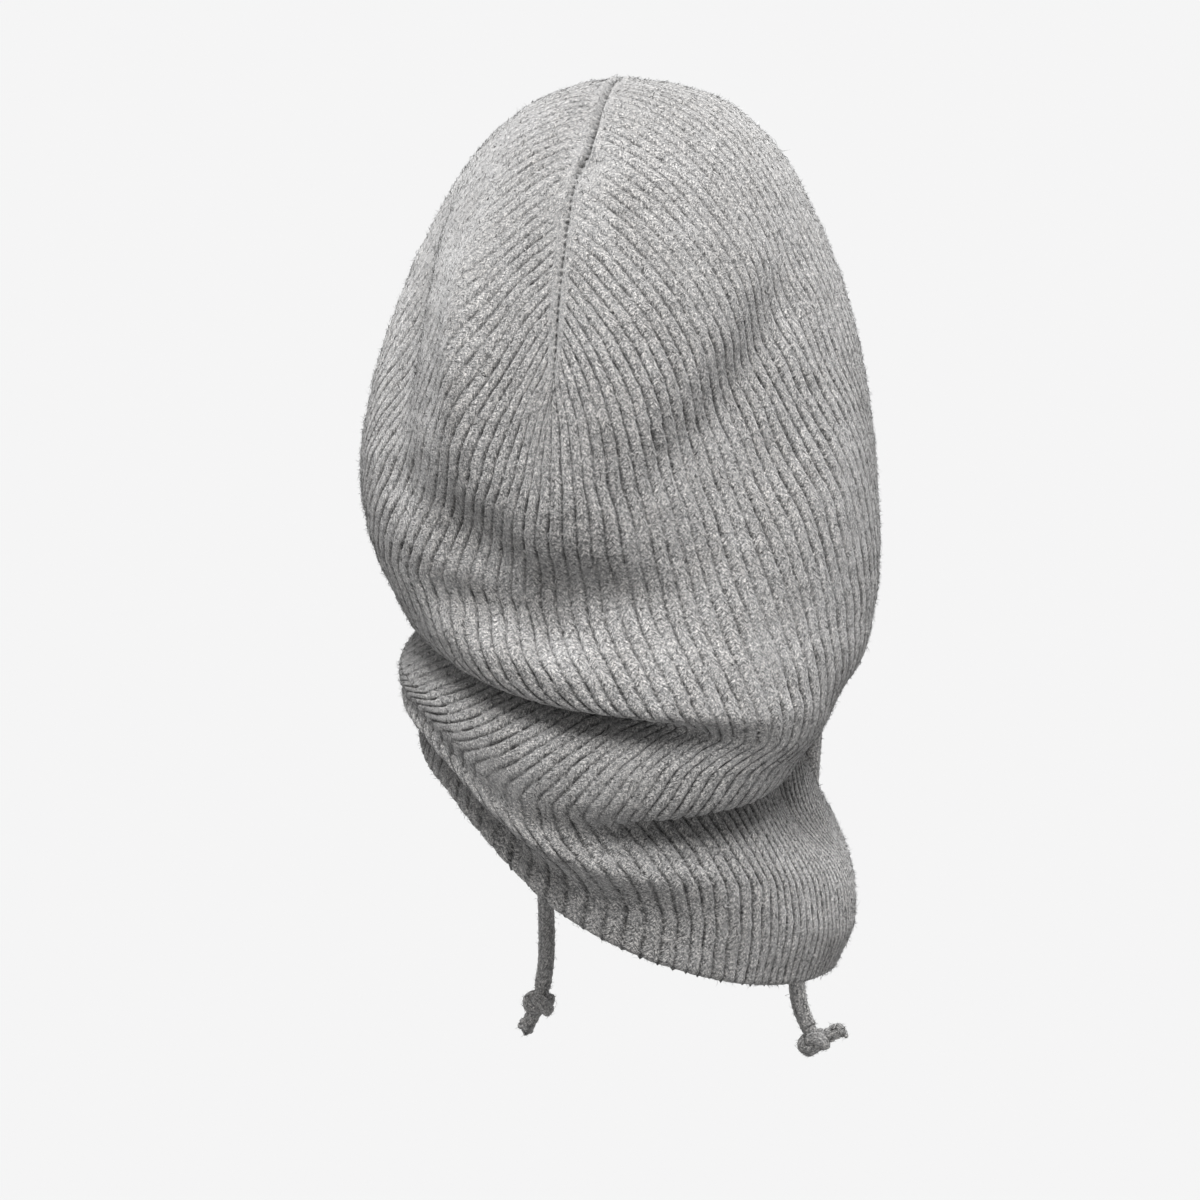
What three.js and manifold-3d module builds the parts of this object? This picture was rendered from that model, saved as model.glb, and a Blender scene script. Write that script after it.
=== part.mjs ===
// A knit hood in felted fisherman's rib, in the form it has when it is worn: a long bag over the head
// whose spare length sags into two rolls at the nape, above a collar with a slanting hem. A drawcord
// casing goes round the face opening, and the cord's two ends hang from it, each with a knot.
// Millimetres, +Z up, the face towards -Y and the wearer's left towards +X.
// The origin is the inside of the crown, where the hood sits on a head.
import * as THREE from 'three';
import { mergeVertices } from 'three/addons/utils/BufferGeometryUtils.js';
import Module from 'manifold-3d';

const WALL = 4.5; // thickness of the felted knit
const GAP = 0.4; // clearance between pieces that are sewn or threaded together

// The dome over the head: rows of a height and four radii, joined by quarter ellipses.
const DOME = [
  { height: 4.5, left: 0.5, back: 0.5, right: 0.5, front: 0.5 },
  { height: 1.5, left: 17, back: 22, right: 24, front: 26 },
  { height: -6, left: 35, back: 42, right: 43, front: 48 },
  { height: -20, left: 52, back: 62, right: 59, front: 68 },
  { height: -46, left: 70, back: 83, right: 75, front: 86 },
  { height: -80, left: 86, back: 99, right: 89, front: 98 },
  { height: -118, left: 98, back: 108, right: 98, front: 102 },
  { height: -152, left: 102.5, back: 110, right: 102, front: 103 },
];

// The sagging folds, from the bag down to the hem. Eight columns go round the head: left, back left,
// back, back right, right, front right, front, front left. A lip is lower than the crevice after it
// wherever the roll hangs over.
const FOLDS = [
  {
    name: 'hollow',
    radius: [93, 97, 99, 103, 102, 102.5, 101, 95],
    height: [-184, -184, -186, -190, -196, -200, -190, -184],
  },
  {
    name: 'bag roll',
    radius: [82.5, 95, 112, 111, 97, 95, 104, 88],
    height: [-206, -209, -220, -226, -228, -224, -212, -206],
  },
  {
    name: 'bag lip',
    radius: [80.5, 91, 107, 111, 91, 92, 104, 86],
    height: [-213, -220, -238, -240, -238, -232, -222, -213],
  },
  {
    name: 'upper crevice',
    radius: [81, 82, 88, 107, 86, 88, 100, 85],
    height: [-220, -225, -233, -250, -246, -240, -232, -220],
  },
  {
    name: 'nape roll',
    radius: [88, 89, 103, 104, 81, 85, 102, 88],
    height: [-233, -238, -254, -262, -252, -250, -248, -233],
  },
  {
    name: 'nape lip',
    radius: [87, 90, 97, 96, 77, 82, 99, 87],
    height: [-239, -247, -279, -284, -258, -258, -258, -240],
  },
  {
    name: 'lower crevice',
    radius: [86, 89, 87, 80, 77, 82, 96, 86],
    height: [-244, -253, -278, -274, -261, -266, -268, -247],
  },
  {
    name: 'collar',
    radius: [84, 87, 94, 93, 97, 100, 99, 86],
    height: [-248, -258, -291, -302, -308, -308, -292, -258],
  },
  {
    name: 'hem crease',
    radius: [81, 83, 85, 91, 96, 96, 94, 84],
    height: [-253, -263, -301, -319, -331, -330, -312, -268],
  },
  {
    name: 'hem',
    radius: [79, 81, 79, 84, 87, 86, 90, 82],
    height: [-260, -272, -317, -341, -351, -351, -334, -286],
  },
];
const FIRST_DIRECTION = 90;
const DIRECTION_STEP = 45;

// Soft dents (minus) and ridges (plus) along a line on the surface. A place is an azimuth in degrees
// from the back towards the left, and a drop in millimetres down the cloth from the crown.
const DENTS = [
  { name: 'valley beside the left wing', from: [50, 96], to: [22, 186], width: 10, height: -5 },
  { name: 'ridge beside that valley', from: [36, 100], to: [15, 182], width: 9, height: 2.5 },
  { name: 'valley on the right', from: [-84, 98], to: [-28, 184], width: 16, height: -4 },
  { name: 'hollow above the bag roll', from: [4, 226], to: [-14, 242], width: 13, height: -5 },
  { name: 'crown pinch', from: [0, 14], to: [-1, 70], width: 7, height: -2 },
  { name: 'dent at the end of the pinch', from: [-6, 72], to: [2, 76], width: 6, height: -3 },
  { name: 'notch in the collar', from: [-96, 343], to: [-62, 340], width: 6, height: -4 },
];
const DENT_RADIUS = 95; // radius at which an azimuth counts as a length for the dents

// The crown seam runs over the top in the middle: a groove between two plain ridges.
const SEAM = { backEnd: 168, fade: 14, grooveWidth: 1.9, grooveDepth: 1.3, ridgePlace: 4.6 };
const SEAM_RIDGE = { width: 2.4, height: 1.3 };

// The face opening is a rounded oval on the front, as a half angle and a half height down the cloth.
const FACE = { drop: 192, halfAngle: 53, halfDrop: 103, power: 2.2 };
const DEGREE_LENGTH = 1.75; // millimetres for each degree at the front

// The casing is a flat tube round that opening, drawn into small gathers by the cord inside it.
const CASING = { width: 17, halfThick: 4.4, steps: 72, gathers: 18, gatherHeight: 0.12 };
// Each corner of the casing's section: how far into the opening and how high, as shares.
const CASING_SECTION = [
  { inwards: 0, high: 0.5 },
  { inwards: 0.2, high: 0.95 },
  { inwards: 0.65, high: 1 },
  { inwards: 0.95, high: 0.6 },
  { inwards: 0.95, high: -0.6 },
  { inwards: 0.65, high: -1 },
  { inwards: 0.2, high: -0.95 },
  { inwards: 0, high: -0.5 },
];

// The drawcord is a knitted tube. Its free ends come out of the casing's lower corners, square to it,
// and hang in front of the collar. The right one has taken a bend above its knot.
const CORD = { diameter: 7, sides: 8, steps: 32 };
const KNOT = { radius: 7.6, squat: 0.85, lobes: 3, lobeHeight: 0.14 };
const TAIL = { length: 15, startRadius: 2.8, endRadius: 3.4 };
const DRAWCORDS = [
  {
    name: 'left',
    tail: [0.5, 0.1, -0.86],
    route: [
      [51, -82.6, -201],
      [54.9, -86.6, -201.9],
      [58, -89.9, -204.6],
      [59.9, -92.3, -210.5],
      [60.5, -93.8, -219],
      [60.4, -94.8, -234],
      [60, -95.4, -250],
      [59.4, -95.8, -266],
      [58.7, -96, -282],
      [58, -96, -298],
      [57.3, -96, -314],
      [56.6, -96, -330],
      [56, -96, -346],
      [55.6, -96, -362],
      [56, -96, -375],
      [57.6, -96, -386],
    ],
  },
  {
    name: 'right',
    tail: [-0.86, 0.1, 0.5],
    route: [
      [-53.4, -87.3, -214.7],
      [-56.5, -91.7, -216.1],
      [-59, -95.4, -219.8],
      [-60.3, -97.9, -226],
      [-60.6, -99.2, -235],
      [-60.3, -99.8, -250],
      [-59.6, -100, -266],
      [-58.6, -100, -282],
      [-57.4, -100, -298],
      [-56.1, -100, -314],
      [-54.8, -100, -330],
      [-53.5, -100, -346],
      [-52.5, -100, -362],
      [-52.4, -100, -376],
      [-54, -100, -388],
      [-58, -99.6, -397.5],
    ],
  },
];

// The wall's mesh: its columns, its first drop under the crown, and its steps down the cloth.
const COLUMNS = { count: 60, besideSeam: 3 };
const STEPS = { first: 5, outerDome: 14, innerDome: 24, outerFolds: 6.4, innerFoldRows: 18 };
const TAU = 2 * Math.PI;

const wasm = await Module();
wasm.setup();

const degrees = THREE.MathUtils.degToRad;

// A smooth closed curve through eight values that are 45 degrees apart.
function aroundEight(values, azimuth) {
  const place = (((FIRST_DIRECTION - azimuth) / DIRECTION_STEP) % 8 + 8) % 8;
  const first = Math.floor(place);
  const f = place - first;
  const [a, b, c, d] = [-1, 0, 1, 2].map((step) => values[(first + step + 8) % 8]);
  const slope = (c - a) * f;
  const bend = (2 * a - 5 * b + 4 * c - d) * f * f;
  const turn = (3 * b - a - 3 * c + d) * f ** 3;
  return 0.5 * (2 * b + slope + bend + turn);
}

// Radius of a dome row in one direction, from quarter ellipses that meet on the axes.
function domeRadius(row, azimuth) {
  const side = Math.sin(degrees(azimuth));
  const rear = Math.cos(degrees(azimuth));
  const across = side >= 0 ? row.left : row.right;
  const along = rear >= 0 ? row.back : row.front;
  return 1 / Math.hypot(side / across, rear / along);
}

// The corner points of the cloth's profile in one direction.
function profile(azimuth) {
  const dome = DOME.map((row) => [domeRadius(row, azimuth), row.height]);
  const folds = FOLDS.map((row) => [row.radius, row.height].map((values) => aroundEight(values, azimuth)));
  return dome.concat(folds);
}

// The drop of each row, down the cloth, as the mean over all directions.
function rowDrops() {
  const directions = 72;
  const drops = new Array(DOME.length + FOLDS.length).fill(0);
  for (let k = 0; k < directions; k += 1) {
    const points = profile((k * 360) / directions);
    let length = 0;
    for (let row = 1; row < points.length; row += 1) {
      length += Math.hypot(points[row][0] - points[row - 1][0], points[row][1] - points[row - 1][1]);
      drops[row] += length / directions;
    }
  }
  return drops;
}
const DROPS = rowDrops();
const FOLD_START = DROPS[DOME.length];
const HEM_DROP = DROPS.at(-1);

// Way of the profile at a row, along both axes, weighed by the lengths on both sides of it.
function rowWay(points, row) {
  const leap = (from, to) => [0, 1].map((axis) => points[to][axis] - points[from][axis]);
  const before = row > 0 ? leap(row - 1, row) : leap(0, 1);
  const after = row < points.length - 1 ? leap(row, row + 1) : before;
  const lengthBefore = Math.hypot(...before);
  const lengthAfter = Math.hypot(...after);
  const share = lengthBefore / (lengthBefore + lengthAfter);
  const lerp = THREE.MathUtils.lerp;
  return [0, 1].map((axis) => lerp(before[axis] / lengthBefore, after[axis] / lengthAfter, share));
}

// Radius and height of the cloth's outer face before dents, on a smooth curve through the rows.
function profilePoint(points, drop) {
  let row = 0;
  while (row < points.length - 2 && drop >= DROPS[row + 1]) row += 1;
  const f = (drop - DROPS[row]) / (DROPS[row + 1] - DROPS[row]);
  const length = Math.hypot(points[row + 1][0] - points[row][0], points[row + 1][1] - points[row][1]);
  const leave = rowWay(points, row);
  const arrive = rowWay(points, row + 1);
  return [0, 1].map((axis) => {
    const start = points[row][axis] * (2 * f ** 3 - 3 * f ** 2 + 1);
    const end = points[row + 1][axis] * (3 * f ** 2 - 2 * f ** 3);
    const bend = leave[axis] * (f ** 3 - 2 * f ** 2 + f) + arrive[axis] * (f ** 3 - f ** 2);
    return start + end + length * bend;
  });
}

// Height of one dent or ridge at a place on the cloth: a soft channel with fading ends.
function dentHeight(dent, azimuth, drop) {
  const middle = (dent.from[0] + dent.to[0]) / 2;
  const away = ((((azimuth - middle + 180) % 360) + 360) % 360) - 180;
  const x = degrees(away) * DENT_RADIUS;
  const x0 = degrees(dent.from[0] - middle) * DENT_RADIUS;
  const x1 = degrees(dent.to[0] - middle) * DENT_RADIUS;
  const length = Math.hypot(x1 - x0, dent.to[1] - dent.from[1]);
  const ux = (x1 - x0) / length;
  const uy = (dent.to[1] - dent.from[1]) / length;
  const along = (x - x0) * ux + (drop - dent.from[1]) * uy;
  const across = (drop - dent.from[1]) * ux - (x - x0) * uy;
  const past = along - THREE.MathUtils.clamp(along, 0, length);
  const middleShare = Math.sin(Math.PI * THREE.MathUtils.clamp(along / length, 0, 1));
  const fade = Math.exp(-((past / (1.2 * dent.width)) ** 2)) * (0.4 + 0.6 * middleShare);
  return dent.height * fade * Math.exp(-((across / dent.width) ** 2));
}

// Relief of the crown seam: a groove between two ridges that fade at the seam's lower end.
function seamHeight(radius, azimuth, drop) {
  const back = Math.cos(degrees(azimuth)) > 0;
  const end = back ? SEAM.backEnd : FACE.drop - FACE.halfDrop;
  const fade = 1 - THREE.MathUtils.smoothstep(drop, end - SEAM.fade, end);
  const aside = Math.abs(radius * Math.sin(degrees(azimuth)));
  const groove = SEAM.grooveDepth * Math.exp(-((aside / SEAM.grooveWidth) ** 2));
  const fromRidge = (aside - SEAM.ridgePlace) / SEAM_RIDGE.width;
  const ridge = SEAM_RIDGE.height * Math.exp(-(fromRidge ** 2));
  return fade * (ridge - groove);
}

// Radius and height at a depth below the outer face, square to the profile. The seam's relief shows
// on the outer face only.
function profileDepth(points, azimuth, drop, depth) {
  const step = 0.4;
  const middle = THREE.MathUtils.clamp(drop, step, HEM_DROP - step);
  const above = profilePoint(points, middle - step);
  const below = profilePoint(points, middle + step);
  const length = Math.hypot(below[0] - above[0], below[1] - above[1]);
  const [radius, height] = profilePoint(points, drop);
  let lift = -depth;
  for (const dent of DENTS) lift += dentHeight(dent, azimuth, drop);
  if (depth === 0) lift += seamHeight(radius, azimuth, drop);
  const outwards = (above[1] - below[1]) / length;
  const upwards = (below[0] - above[0]) / length;
  return [radius + lift * outwards, height + lift * upwards];
}

function around(azimuth, [radius, height]) {
  const turn = degrees(azimuth);
  return new THREE.Vector3(radius * Math.sin(turn), radius * Math.cos(turn), height);
}

function clothPoint(azimuth, drop, depth) {
  return around(azimuth, profileDepth(profile(azimuth), azimuth, drop, depth));
}

// The inner face through the folds in one direction, from the hem up: points at equal steps along the
// face, without those that lie closer to the outer face than the wall's thickness, inside a tight lip.
function innerFolds(azimuth, count) {
  const points = profile(azimuth);
  const drops = [HEM_DROP, ...dropSteps(HEM_DROP, FOLD_START, 1)];
  const outer = drops.map((drop) => profileDepth(points, azimuth, drop, 0));
  const inner = drops.map((drop) => profileDepth(points, azimuth, drop, WALL));
  const near = (a, b) => Math.hypot(a[0] - b[0], a[1] - b[1]) < WALL - 0.1;
  const clear = inner.filter((point) => !outer.some((other) => near(point, other)));
  const lengths = [0];
  for (let k = 1; k < clear.length; k += 1) {
    const step = Math.hypot(clear[k][0] - clear[k - 1][0], clear[k][1] - clear[k - 1][1]);
    lengths.push(lengths[k - 1] + step);
  }
  return Array.from({ length: count }, (_, k) => {
    const wanted = (lengths.at(-1) * (k + 1)) / count;
    const after = Math.max(1, lengths.findIndex((length) => length >= wanted - 1e-6));
    const share = (wanted - lengths[after - 1]) / (lengths[after] - lengths[after - 1]);
    return [0, 1].map((axis) => THREE.MathUtils.lerp(clear[after - 1][axis], clear[after][axis], share));
  });
}

// Azimuths of the mesh's columns, with two more beside the seam at the back and at the front.
function columnAzimuths() {
  const list = [];
  for (let k = 0; k < COLUMNS.count; k += 1) list.push((k * 360) / COLUMNS.count);
  for (const middle of [0, 180]) list.push(middle + COLUMNS.besideSeam, middle - COLUMNS.besideSeam);
  return list.map((azimuth) => (azimuth + 360) % 360).sort((a, b) => a - b);
}

// Drops from one place to another in equal steps of about the given length, without the first.
function dropSteps(start, end, step) {
  const count = Math.max(1, Math.round(Math.abs(end - start) / step));
  return Array.from({ length: count }, (_, k) => start + ((end - start) * (k + 1)) / count);
}

// A closed geometry from rings of points, with a point over the first ring and one under the last,
// or with the last ring joined to the first where no such points are given.
function skin(rings, firstPoint, lastPoint) {
  const count = rings[0].length;
  const points = rings.flat();
  const faces = [];
  const joins = firstPoint ? rings.length - 1 : rings.length;
  for (let k = 0; k < joins; k += 1) {
    const next = (k + 1) % rings.length;
    for (let j = 0; j < count; j += 1) {
      const beside = (j + 1) % count;
      const a = k * count + j;
      const b = k * count + beside;
      const c = next * count + j;
      const d = next * count + beside;
      faces.push(a, c, b, b, c, d);
    }
  }
  if (firstPoint) {
    const last = (rings.length - 1) * count;
    points.push(firstPoint, lastPoint);
    for (let j = 0; j < count; j += 1) {
      const beside = (j + 1) % count;
      faces.push(points.length - 2, j, beside, points.length - 1, last + beside, last + j);
    }
  }
  const geometry = new THREE.BufferGeometry();
  const numbers = points.flatMap((point) => point.toArray());
  geometry.setAttribute('position', new THREE.Float32BufferAttribute(numbers, 3));
  geometry.setIndex(faces);
  return facingOut(geometry);
}

// Turns every face over if the enclosed volume comes out negative.
function facingOut(geometry) {
  const index = geometry.index.array;
  const corner = (k) => new THREE.Vector3().fromBufferAttribute(geometry.attributes.position, index[k]);
  let volume = 0;
  for (let k = 0; k < index.length; k += 3) {
    volume += corner(k).dot(corner(k + 1).cross(corner(k + 2)));
  }
  if (volume < 0) {
    geometry.setIndex(Array.from(index).reverse());
  }
  return geometry;
}

function toSolid(geometry) {
  const bare = geometry.clone();
  bare.deleteAttribute('normal');
  bare.deleteAttribute('uv');
  const merged = mergeVertices(bare, 1e-4);
  const mesh = new wasm.Mesh({
    numProp: 3,
    vertProperties: new Float32Array(merged.attributes.position.array),
    triVerts: new Uint32Array(merged.index.array),
  });
  return new wasm.Manifold(mesh);
}

function toGeometry(solid) {
  const mesh = solid.getMesh();
  const geometry = new THREE.BufferGeometry();
  geometry.setAttribute('position', new THREE.Float32BufferAttribute(mesh.vertProperties, 3));
  geometry.setIndex(Array.from(mesh.triVerts));
  return geometry;
}

// A place on the face opening's oval, moved inwards by a distance.
function facePlace(share, inwards) {
  const turn = share * TAU;
  const round = (value) => Math.sign(value) * Math.abs(value) ** (2 / FACE.power);
  const angle = (FACE.halfAngle - inwards / DEGREE_LENGTH) * round(Math.cos(turn));
  return [180 + angle, FACE.drop + (FACE.halfDrop - inwards) * round(Math.sin(turn))];
}

function faceLoop(inwards, depth) {
  return Array.from({ length: CASING.steps }, (_, k) => {
    const [azimuth, drop] = facePlace(k / CASING.steps, inwards);
    return clothPoint(azimuth, drop, depth);
  });
}

// The hood's wall: outer face, rounded hem and inner face, with the face opening cut square to it.
function hoodShell() {
  const azimuths = columnAzimuths();
  const ring = (drop, depth) => azimuths.map((azimuth) => clothPoint(azimuth, drop, depth));
  const outerDome = dropSteps(STEPS.first, FOLD_START, STEPS.outerDome);
  const outerFolds = dropSteps(FOLD_START, HEM_DROP, STEPS.outerFolds);
  const innerDome = dropSteps(FOLD_START, 2 * STEPS.first, STEPS.innerDome);
  const hemEdge = ring(HEM_DROP, WALL / 2).map((point) => point.setZ(point.z - WALL / 3));
  const columns = azimuths.map((azimuth) => innerFolds(azimuth, STEPS.innerFoldRows));
  const rings = [STEPS.first, ...outerDome, ...outerFolds].map((drop) => ring(drop, 0));
  rings.push(hemEdge, ring(HEM_DROP, WALL));
  for (let row = 0; row < STEPS.innerFoldRows; row += 1) {
    rings.push(azimuths.map((azimuth, k) => around(azimuth, columns[k][row])));
  }
  for (const drop of innerDome) rings.push(ring(drop, WALL));
  const top = new THREE.Vector3(0, 0, DOME[0].height);
  const wall = skin(rings, top, new THREE.Vector3(0, 0, 0));
  const plugDepths = [-14, -3, WALL / 2, WALL + 3, WALL + 14];
  const plugMiddle = (depth) => clothPoint(180, FACE.drop, depth);
  const plugRings = plugDepths.map((depth) => faceLoop(0, depth));
  const plug = skin(plugRings, plugMiddle(plugDepths[0]), plugMiddle(plugDepths.at(-1)));
  return toGeometry(toSolid(wall).subtract(toSolid(plug)));
}

// The casing: its section swept round the opening, thicker at each gather.
function faceCasing() {
  const rings = CASING_SECTION.map((corner) => {
    const inwards = GAP + corner.inwards * (CASING.width - GAP);
    return Array.from({ length: CASING.steps }, (_, k) => {
      const share = k / CASING.steps;
      const gather = 1 + CASING.gatherHeight * Math.cos(share * CASING.gathers * TAU);
      const height = CASING.halfThick * gather * corner.high;
      const [azimuth, drop] = facePlace(share, inwards);
      return clothPoint(azimuth, drop, WALL / 2 - height);
    });
  });
  return skin(rings);
}

function cordCurve(cord) {
  const points = cord.route.map((place) => new THREE.Vector3(...place));
  return new THREE.CatmullRomCurve3(points, false, 'centripetal');
}

function cordTube(cord) {
  const section = new THREE.Shape();
  section.absarc(0, 0, CORD.diameter / 2, 0, TAU);
  return new THREE.ExtrudeGeometry(section, {
    steps: CORD.steps,
    curveSegments: CORD.sides / 2,
    extrudePath: cordCurve(cord),
  });
}

// The knot: an overhand turn as a squat lobed ball, with the cord's frayed tail coming out of it.
function knot(cord) {
  const ball = new THREE.SphereGeometry(1, 12, 8);
  const place = ball.attributes.position;
  for (let k = 0; k < place.count; k += 1) {
    const point = new THREE.Vector3().fromBufferAttribute(place, k);
    const turn = Math.atan2(point.x, point.z);
    const waist = 1 - point.y ** 2;
    const lobe = 1 + KNOT.lobeHeight * waist * Math.cos(KNOT.lobes * turn + 2 * point.y);
    point.multiplyScalar(KNOT.radius * lobe);
    place.setXYZ(k, point.x, point.y * KNOT.squat, point.z);
  }
  const up = new THREE.Vector3(0, 1, 0);
  const tail = new THREE.CylinderGeometry(TAIL.endRadius, TAIL.startRadius, TAIL.length, CORD.sides);
  tail.translate(0, TAIL.length / 2, 0);
  const tailWay = new THREE.Vector3(...cord.tail).normalize();
  tail.applyQuaternion(new THREE.Quaternion().setFromUnitVectors(up, tailWay));
  const curve = cordCurve(cord);
  const along = curve.getTangent(1);
  ball.applyQuaternion(new THREE.Quaternion().setFromUnitVectors(up, along));
  const centre = curve.getPoint(1).addScaledVector(along, KNOT.radius * KNOT.squat + GAP);
  ball.translate(centre.x, centre.y, centre.z);
  tail.translate(centre.x, centre.y, centre.z);
  return toGeometry(toSolid(ball).add(toSolid(tail)));
}

function yarn(red, green, blue) {
  return new THREE.MeshStandardMaterial({
    color: new THREE.Color(`rgb(${red}, ${green}, ${blue})`),
    roughness: 0.95,
    metalness: 0,
  });
}

function piece(name, geometry, material) {
  const mesh = new THREE.Mesh(geometry, material);
  mesh.name = name;
  return mesh;
}

const hood = new THREE.Group();
hood.add(piece('hood_shell', hoodShell(), yarn(152, 151, 150)));
hood.add(piece('face_casing', faceCasing(), yarn(146, 145, 144)));
for (const cord of DRAWCORDS) {
  hood.add(piece(`drawcord_${cord.name}`, cordTube(cord), yarn(132, 131, 130)));
  hood.add(piece(`knot_${cord.name}`, knot(cord), yarn(126, 125, 124)));
}

export default hood;
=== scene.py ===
import bpy
import numpy as np
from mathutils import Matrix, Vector


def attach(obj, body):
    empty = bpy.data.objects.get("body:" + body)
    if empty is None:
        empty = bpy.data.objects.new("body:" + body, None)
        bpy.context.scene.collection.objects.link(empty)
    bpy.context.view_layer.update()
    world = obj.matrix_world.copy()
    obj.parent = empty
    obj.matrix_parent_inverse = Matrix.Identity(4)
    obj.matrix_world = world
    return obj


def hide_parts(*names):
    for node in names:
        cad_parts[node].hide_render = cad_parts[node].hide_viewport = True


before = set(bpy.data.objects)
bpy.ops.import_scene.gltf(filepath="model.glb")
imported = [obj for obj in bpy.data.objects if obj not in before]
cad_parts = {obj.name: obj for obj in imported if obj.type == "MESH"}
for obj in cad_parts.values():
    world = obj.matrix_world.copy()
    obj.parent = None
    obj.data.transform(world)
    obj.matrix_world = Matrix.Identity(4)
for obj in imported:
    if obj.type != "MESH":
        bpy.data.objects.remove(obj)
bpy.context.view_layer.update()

WALL = 0.0045 # the knit's thickness
SEED = 7

# The dome over the head, in quarter ellipses: heights, and the radius to the left, back, right and
# front at each one.
DOME = {
    0.0045: (0.0005, 0.0005, 0.0005, 0.0005),
    0.0015: (0.017, 0.022, 0.024, 0.026),
    -0.006: (0.035, 0.042, 0.043, 0.048),
    -0.02: (0.052, 0.062, 0.059, 0.068),
    -0.046: (0.07, 0.083, 0.075, 0.086),
    -0.08: (0.086, 0.099, 0.089, 0.098),
    -0.118: (0.098, 0.108, 0.098, 0.102),
    -0.152: (0.1025, 0.11, 0.102, 0.103),
}

# The sagging folds, each with its radii and its heights. Eight columns: left, back left, back, back
# right, right, front right, front, front left.
FOLDS = {
    "hollow": (
        (0.093, 0.102, 0.105, 0.105, 0.1025, 0.1025, 0.101, 0.095),
        (-0.184, -0.184, -0.196, -0.199, -0.199, -0.2, -0.19, -0.184),
    ),
    "bag roll": (
        (0.0825, 0.095, 0.11, 0.1095, 0.097, 0.095, 0.104, 0.088),
        (-0.197, -0.204, -0.219, -0.225, -0.226, -0.223, -0.212, -0.204),
    ),
    "bag lip": (
        (0.079, 0.091, 0.107, 0.111, 0.09, 0.092, 0.104, 0.086),
        (-0.203, -0.211, -0.229, -0.236, -0.236, -0.231, -0.222, -0.211),
    ),
    "upper crevice": (
        (0.078, 0.082, 0.088, 0.107, 0.085, 0.088, 0.1, 0.084),
        (-0.209, -0.2155, -0.225, -0.246, -0.244, -0.239, -0.232, -0.218),
    ),
    "nape roll": (
        (0.085, 0.093, 0.1035, 0.103, 0.079, 0.085, 0.102, 0.088),
        (-0.222, -0.231, -0.248, -0.257, -0.25, -0.249, -0.247, -0.232),
    ),
    "nape lip": (
        (0.0855, 0.0925, 0.0995, 0.095, 0.0725, 0.079, 0.099, 0.087),
        (-0.23, -0.238, -0.271, -0.271, -0.252, -0.253, -0.257, -0.24),
    ),
    "lower crevice": (
        (0.085, 0.0905, 0.0955, 0.08, 0.072, 0.0785, 0.096, 0.086),
        (-0.2345, -0.243, -0.278, -0.265, -0.256, -0.262, -0.268, -0.247),
    ),
    "collar": (
        (0.0845, 0.0915, 0.096, 0.092, 0.0925, 0.097, 0.099, 0.086),
        (-0.239, -0.2475, -0.29, -0.302, -0.308, -0.308, -0.292, -0.256),
    ),
    "hem crease": (
        (0.078, 0.0825, 0.084, 0.09, 0.094, 0.095, 0.094, 0.084),
        (-0.2435, -0.2525, -0.3, -0.319, -0.331, -0.33, -0.312, -0.266),
    ),
    "hem": (
        (0.0795, 0.0835, 0.0815, 0.0845, 0.087, 0.086, 0.09, 0.082),
        (-0.257, -0.27, -0.318, -0.344, -0.351, -0.351, -0.334, -0.285),
    ),
}
# Azimuth of the first column, and the step to the next.
FIRST_DIRECTION = 90
DIRECTION_STEP = 45

# Soft dents (minus) and ridges (plus) along a line, from one (azimuth, drop) to another. Azimuths are
# in degrees from the back towards the left, and a drop is a way down the cloth from the crown.
DENTS = (
    {"from": (58, 0.108), "to": (44, 0.195), "width": 0.017, "height": -0.010},
    {"from": (27, 0.108), "to": (21, 0.184), "width": 0.009, "height": 0.007},
    {"from": (-66, 0.120), "to": (-18, 0.205), "width": 0.015, "height": -0.0095},
    {"from": (-66, 0.160), "to": (-24, 0.232), "width": 0.023, "height": -0.0105},
    {"from": (34, 0.208), "to": (8, 0.236), "width": 0.014, "height": -0.008},
    {"from": (8, 0.240), "to": (-18, 0.240), "width": 0.011, "height": -0.0075},
    {"from": (28, 0.250), "to": (-12, 0.254), "width": 0.009, "height": -0.0068},
    {"from": (0, 0.014), "to": (-1, 0.070), "width": 0.008, "height": -0.0025},
    {"from": (-6, 0.072), "to": (2, 0.076), "width": 0.006, "height": -0.003},
    {"from": (-112, 0.341), "to": (-64, 0.338), "width": 0.008, "height": -0.006},
)
DENT_RADIUS = 0.095
# How far a dent runs out past its line's ends, in widths, and its share of the height there.
DENT_END = {"reach": 1.2, "share": 0.4}

# Steps of the cloth's fine grids, and how often they are smoothed.
AZIMUTH_STEP = 0.5
DROP_STEP = 0.0005
LIP_SMOOTHING = 6
TWIST_SMOOTHING = {"around": 60, "down": 20}

# The crown's seam: a groove with a ridge beside it, a line of stitches, and a pinch near its top.
SEAM = {"back_end": 0.168, "fade": 0.014, "groove_width": 0.0013, "groove_depth": 0.0006}
SEAM_RIDGE = {"place": 0.0026, "width": 0.0013, "height": 0.0008}
STITCH_LINE = {"width": 0.0007, "depth": 0.001, "pitch": 0.003, "mean": 0.45, "swing": 0.55}
PINCH = {"start": 0.014, "full": 0.03, "fade": 0.066, "end": 0.072, "width": 0.0014, "depth": 0.0009}
# Strength of the painted shade along the seam's crease, in dashes by its stitches, and in the pinch's crease.
SEAM_PAINTED_SHADE = {"stitches": 1.5, "pinch": 0.4}
# The seam's top runs aside from the middle, by this much where it steps back at the kink.
KINK = {"drop": 0.066, "length": 0.011, "aside": 0.0027, "reach": 0.03}

# The face opening's rounded outline on the cloth, the length of a degree there, and how far inside that
# outline the wall ends.
FACE = {"drop": 0.192, "half_angle": 53, "half_drop": 0.103, "power": 2.2}
DEGREE_LENGTH = 0.00175
WALL_EDGE = 0.0025

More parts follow.
